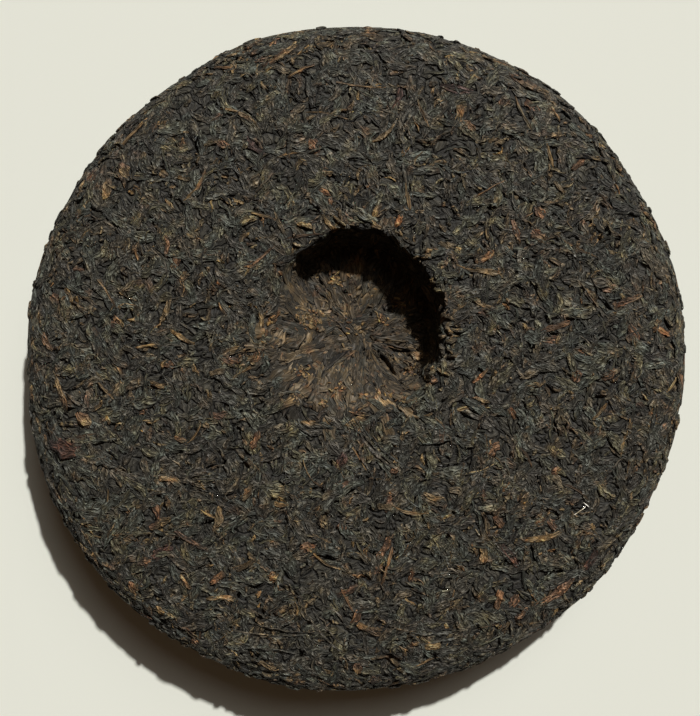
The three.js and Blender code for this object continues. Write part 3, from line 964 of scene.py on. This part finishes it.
RUST_LAID = [
    (66, 57, 30, 5.2, 1.9, 0.2), (42, -48, -65, 4, 2.6, 0.2), (42, -71, 85, 6.2, 2.3, 0.1),
    (50, -76, 30, 5, 1.5, 0.3), (13, 40, 50, 4.4, 2, 0.3), (-80, -18, -50, 5.5, 3.6, 0.4),
    (-82, 43, 75, 3.6, 2, 0.2), (-24, -64, 20, 3.2, 2.8, 0.3), (-49, -82, -40, 5, 1.3, 0.3),
    (37, -5, 40, 6.5, 1.2, 0.1), (46, -16, -70, 4, 2, 0.2), (37, -12, -15, 5.5, 1.2, 0.2),
    (-27, 30, 40, 9.5, 1, 0.1), (59, 9, 15, 9, 2, 0.2), (-92, 5, -70, 7, 1.9, 0.4),
    (34, 68, -60, 4, 2, 0.3), (92, 7, -40, 7, 2.2, 1.2), (-40, -65, 25, 6, 2.4, 0.4),
    (-51, -24, -30, 4.2, 1.6, 0.4),
]
lay_leaves(
    "rust_flakes", golden_bud, RUST, 53, RUST_LAID, rise=0.5, layer=(-0.1, 0.05), wriggle=0.15,
    fade=RUST + OCHRE + BROWN, limit=LAID_PRESS,
)


# The crumb
# Broken bits of leaf, 2 to 4 mm long, of all the dark and brown kinds. They fill the grooves between
# the others.

crumb_leaf = leaf_material("crumb", along=0.6)
press_leaves(
    "leaf_crumb", crumb_leaf, CHARCOAL + OLIVE_GREY + BROWN, seed=61, count=2000, length=(1.6, 3.8),
    width=(0.9, 1.9), rise=0.45, layer=(-0.3, 0.12), ridges=1, sides=5, rows=5,
)


# The rim's loose bits
# Crumb and torn ends that work out of the rim, where the stone didn't press them flat.

press_leaves(
    "rim_bits", crumb_leaf, CHARCOAL + OLIVE_GREY + BROWN, seed=62, count=520, length=(2, 6),
    width=(0.8, 2.0), low=0.42, high=0.62, rise=0.6, layer=(-0.3, 0.45), ridges=1, sides=5, rows=6,
    limit=0.75, lean=0.2,
)


# The dimple's lining
# Small leaves and crumb that the knot of the bag rubbed brown and flat, folds that it drew outwards,
# golden crumb in small heaps, and broken bits that stand up along the steep edge.

DIMPLE_SHARE = 0.072  # of the cake's whole surface, which holds all of the dimple
EDGE_SHARE = 0.1  # the same with its edge
FAN_WAYS = (*np.arange(-150, -54, 6.5), *np.arange(-30, 40, 6.5))  # in degrees, for the drawn folds
DIMPLE_BROWN = [
    linear(58, 53, 45), linear(74, 65, 53), linear(48, 44, 39), linear(88, 77, 61), linear(104, 91, 72),
]
GOLD_HEAPS = [  # middle x and y, spread and number of crumbs
    (-13.5, 12, 1.7, 60), (-6, 24, 1.3, 30), (14, 16.5, 1.2, 18), (-9, -13, 0.7, 12), (-16, -3.5, 1.1, 14),
    (-24, 12, 1.5, 18), (-5.5, -9, 1.2, 16), (9, -9, 1.2, 6), (-2, 9, 2.2, 12), (8.3, 12.3, 0.9, 18),
    (17, -3.8, 0.9, 14), (2.2, -11.5, 1.2, 8), (14.5, -11.5, 1.3, 10),
]

rubbed_leaf = leaf_material(
    "rubbed brown leaf", across=1.0, along=0.2, rough=(0.6, 0.9), bump_depth=0.0014, dark=0.5, pale=1.7,
)
press_leaves(
    "dimple_leaves", rubbed_leaf, DIMPLE_BROWN + CHARCOAL[:2], seed=71, count=560, length=(5, 12),
    width=(2.4, 5.0), rise=0.22, layer=(-0.16, 0.0), rows=6, high=DIMPLE_SHARE, limit=0.15, radial=0.8,
    keep=inside_dimple,
)
press_leaves(
    "dimple_crumb", rubbed_leaf, DIMPLE_BROWN + DIMPLE_BROWN + STALK + RUSSET, seed=72, count=380,
    length=(1.2, 3.2), width=(0.6, 1.4), rise=0.26, layer=(-0.2, 0.0), ridges=1, sides=5, rows=5,
    high=DIMPLE_SHARE, limit=0.25, keep=inside_dimple,
)

fan_draw = np.random.default_rng(75)
fan = []
for way in np.radians(FAN_WAYS):
    way += fan_draw.normal(0, 0.03)
    long = fan_draw.uniform(9, 17)
    reach = 2.5 + long / 2
    fold_x = CREASE_CENTRE[0] + reach * math.cos(way)
    fold_y = CREASE_CENTRE[1] + reach * math.sin(way)
    width = fan_draw.uniform(1.5, 2.6)
    fan.append((fold_x, fold_y, math.degrees(way), long, width, fan_draw.normal(0, 0.15)))
fan += [  # beside the long crease
    (12.9, -2.6, -56, 15, 1.7, 0.0), (14.4, -1.5, -52, 13, 2.0, 0.0), (16.3, -0.8, -45, 11, 2.2, 0.0),
    (9.9, -4.8, -56, 15, 1.7, 0.0), (8.2, -5.4, -59, 14, 2.0, 0.0), (6.4, -6.0, -64, 13, 2.2, 0.0),
]
lay_leaves(
    "drawn_folds", rubbed_leaf, DIMPLE_BROWN + CHARCOAL[:2], 76, fan, rise=0.5, layer=(-0.1, 0.0),
    ridges=2, sides=6, rows=10, wriggle=0.05, tip=0.25, limit=0.35,
)
press_leaves(
    "dimple_edge_bits", crumb_leaf, CHARCOAL + OLIVE_GREY + BROWN + OCHRE, seed=77, count=900,
    length=(2, 5), width=(1.2, 2.4), rise=1.0, layer=(-0.2, 0.3), ridges=1, sides=5, rows=5,
    high=EDGE_SHARE, limit=1.0, lean=0.3, keep=at_steep_edge,
)

heap_draw = np.random.default_rng(73)
heaped = [
    (
        *heap_draw.normal((x, y), spread), heap_draw.uniform(0, 360), heap_draw.uniform(0.9, 2.4),
        heap_draw.uniform(0.5, 1.2), heap_draw.normal(0, 0.5),
    )
    for x, y, spread, count in GOLD_HEAPS
    for _ in range(count)
]
lay_leaves(
    "golden_crumb", golden_bud, GOLD + OCHRE + RUST, 74, heaped, rise=0.4, layer=(-0.1, 0.15), ridges=1,
    sides=5, rows=5, fade=GOLD + BROWN, limit=0.5,
)


# The pale fibres
# Three stiff white hairs of a leaf bud, caught on the surface near the right side of the lower half.
# They lie on top of the other leaves.

FIBRE_LAID = [
    (66, -45, 30, 4.6, 0.35, 0.25), (68, -43, -40, 2, 0.3, 0.1), (36, -51, -60, 2.4, 0.3, 0.2),
]
fibre = leaf_material("pale fibre", rough=(0.5, 0.7), bump_depth=0.0001, palest=(0.9, 0.88, 0.82, 1))
lay_leaves(
    "pale_fibres", fibre, [linear(196, 186, 168)], 81, FIBRE_LAID, rise=0.3, layer=(0.35, 0.4), ridges=1,
    sides=5, wriggle=0.02, tip=0.2, limit=0.8,
)


# The view
# The camera looks straight down from a quarter of a metre above the disc, a little off its middle.

VIEW_PIXELS = 700
MM_PER_PIXEL = 0.302  # at the height of the widest line
VIEW_DROP = 0.250  # from the camera down to the widest line, in metres
VIEW_MIDDLE = (-1.36, 0.15)

camera_data = bpy.data.cameras.new("camera")
camera_data.sensor_fit = "HORIZONTAL"
camera_data.angle = 2 * math.atan(VIEW_PIXELS * MM_PER_PIXEL * MM / 2 / VIEW_DROP)
camera_data.clip_start = 0.01
camera = bpy.data.objects.new("camera", camera_data)
camera.location = (VIEW_MIDDLE[0] * MM, VIEW_MIDDLE[1] * MM, VIEW_DROP + LIP_HEIGHT * MM)
bpy.context.collection.objects.link(camera)
bpy.context.scene.camera = camera


# The floor and the light
# A plain pale floor. One key lamp from the upper right with a faint wide glow round it casts the hard
# shadows, and a weak warm fill comes from all round.

FLOOR_COLOUR = linear(231, 232, 222)

floor_form = bmesh.new()
bmesh.ops.create_grid(floor_form, x_segments=2, y_segments=2, size=3)
floor_mesh = bpy.data.meshes.new("floor")
floor_form.to_mesh(floor_mesh)
floor_form.free()
floor = bpy.data.objects.new("floor", floor_mesh)
bpy.context.collection.objects.link(floor)
floor_paint = bpy.data.materials.new("floor paint")
floor_paint.use_nodes = True
floor_shader = floor_paint.node_tree.nodes["Principled BSDF"]
floor_shader.inputs["Base Color"].default_value = FLOOR_COLOUR
floor_shader.inputs["Roughness"].default_value = 0.9
floor_mesh.materials.append(floor_paint)

KEY_SIDE = math.radians(65)
KEY_HEIGHT = math.radians(42)
KEY_COLOUR = (1.0, 0.995, 0.965)
KEY_PARTS = (("key lamp", 3.9, 2.2), ("glow round the key lamp", 0.42, 34))  # energy, degrees across
FILL_COLOUR = (1.0, 0.64, 0.38, 1)
FILL_STRENGTH = 0.037

key_level = math.cos(KEY_HEIGHT)
to_key = Vector((math.cos(KEY_SIDE) * key_level, math.sin(KEY_SIDE) * key_level, math.sin(KEY_HEIGHT)))
for lamp_name, energy, across in KEY_PARTS:
    lamp_data = bpy.data.lights.new(lamp_name, "SUN")
    lamp_data.energy = energy
    lamp_data.angle = math.radians(across)
    lamp_data.color = KEY_COLOUR
    lamp = bpy.data.objects.new(lamp_name, lamp_data)
    lamp.rotation_euler = to_key.to_track_quat("Z", "Y").to_euler()
    bpy.context.collection.objects.link(lamp)

fill = bpy.data.worlds.new("fill")
fill.use_nodes = True
fill.node_tree.nodes["Background"].inputs["Color"].default_value = FILL_COLOUR
fill.node_tree.nodes["Background"].inputs["Strength"].default_value = FILL_STRENGTH
bpy.context.scene.world = fill
bpy.context.scene.view_settings.view_transform = "Standard"
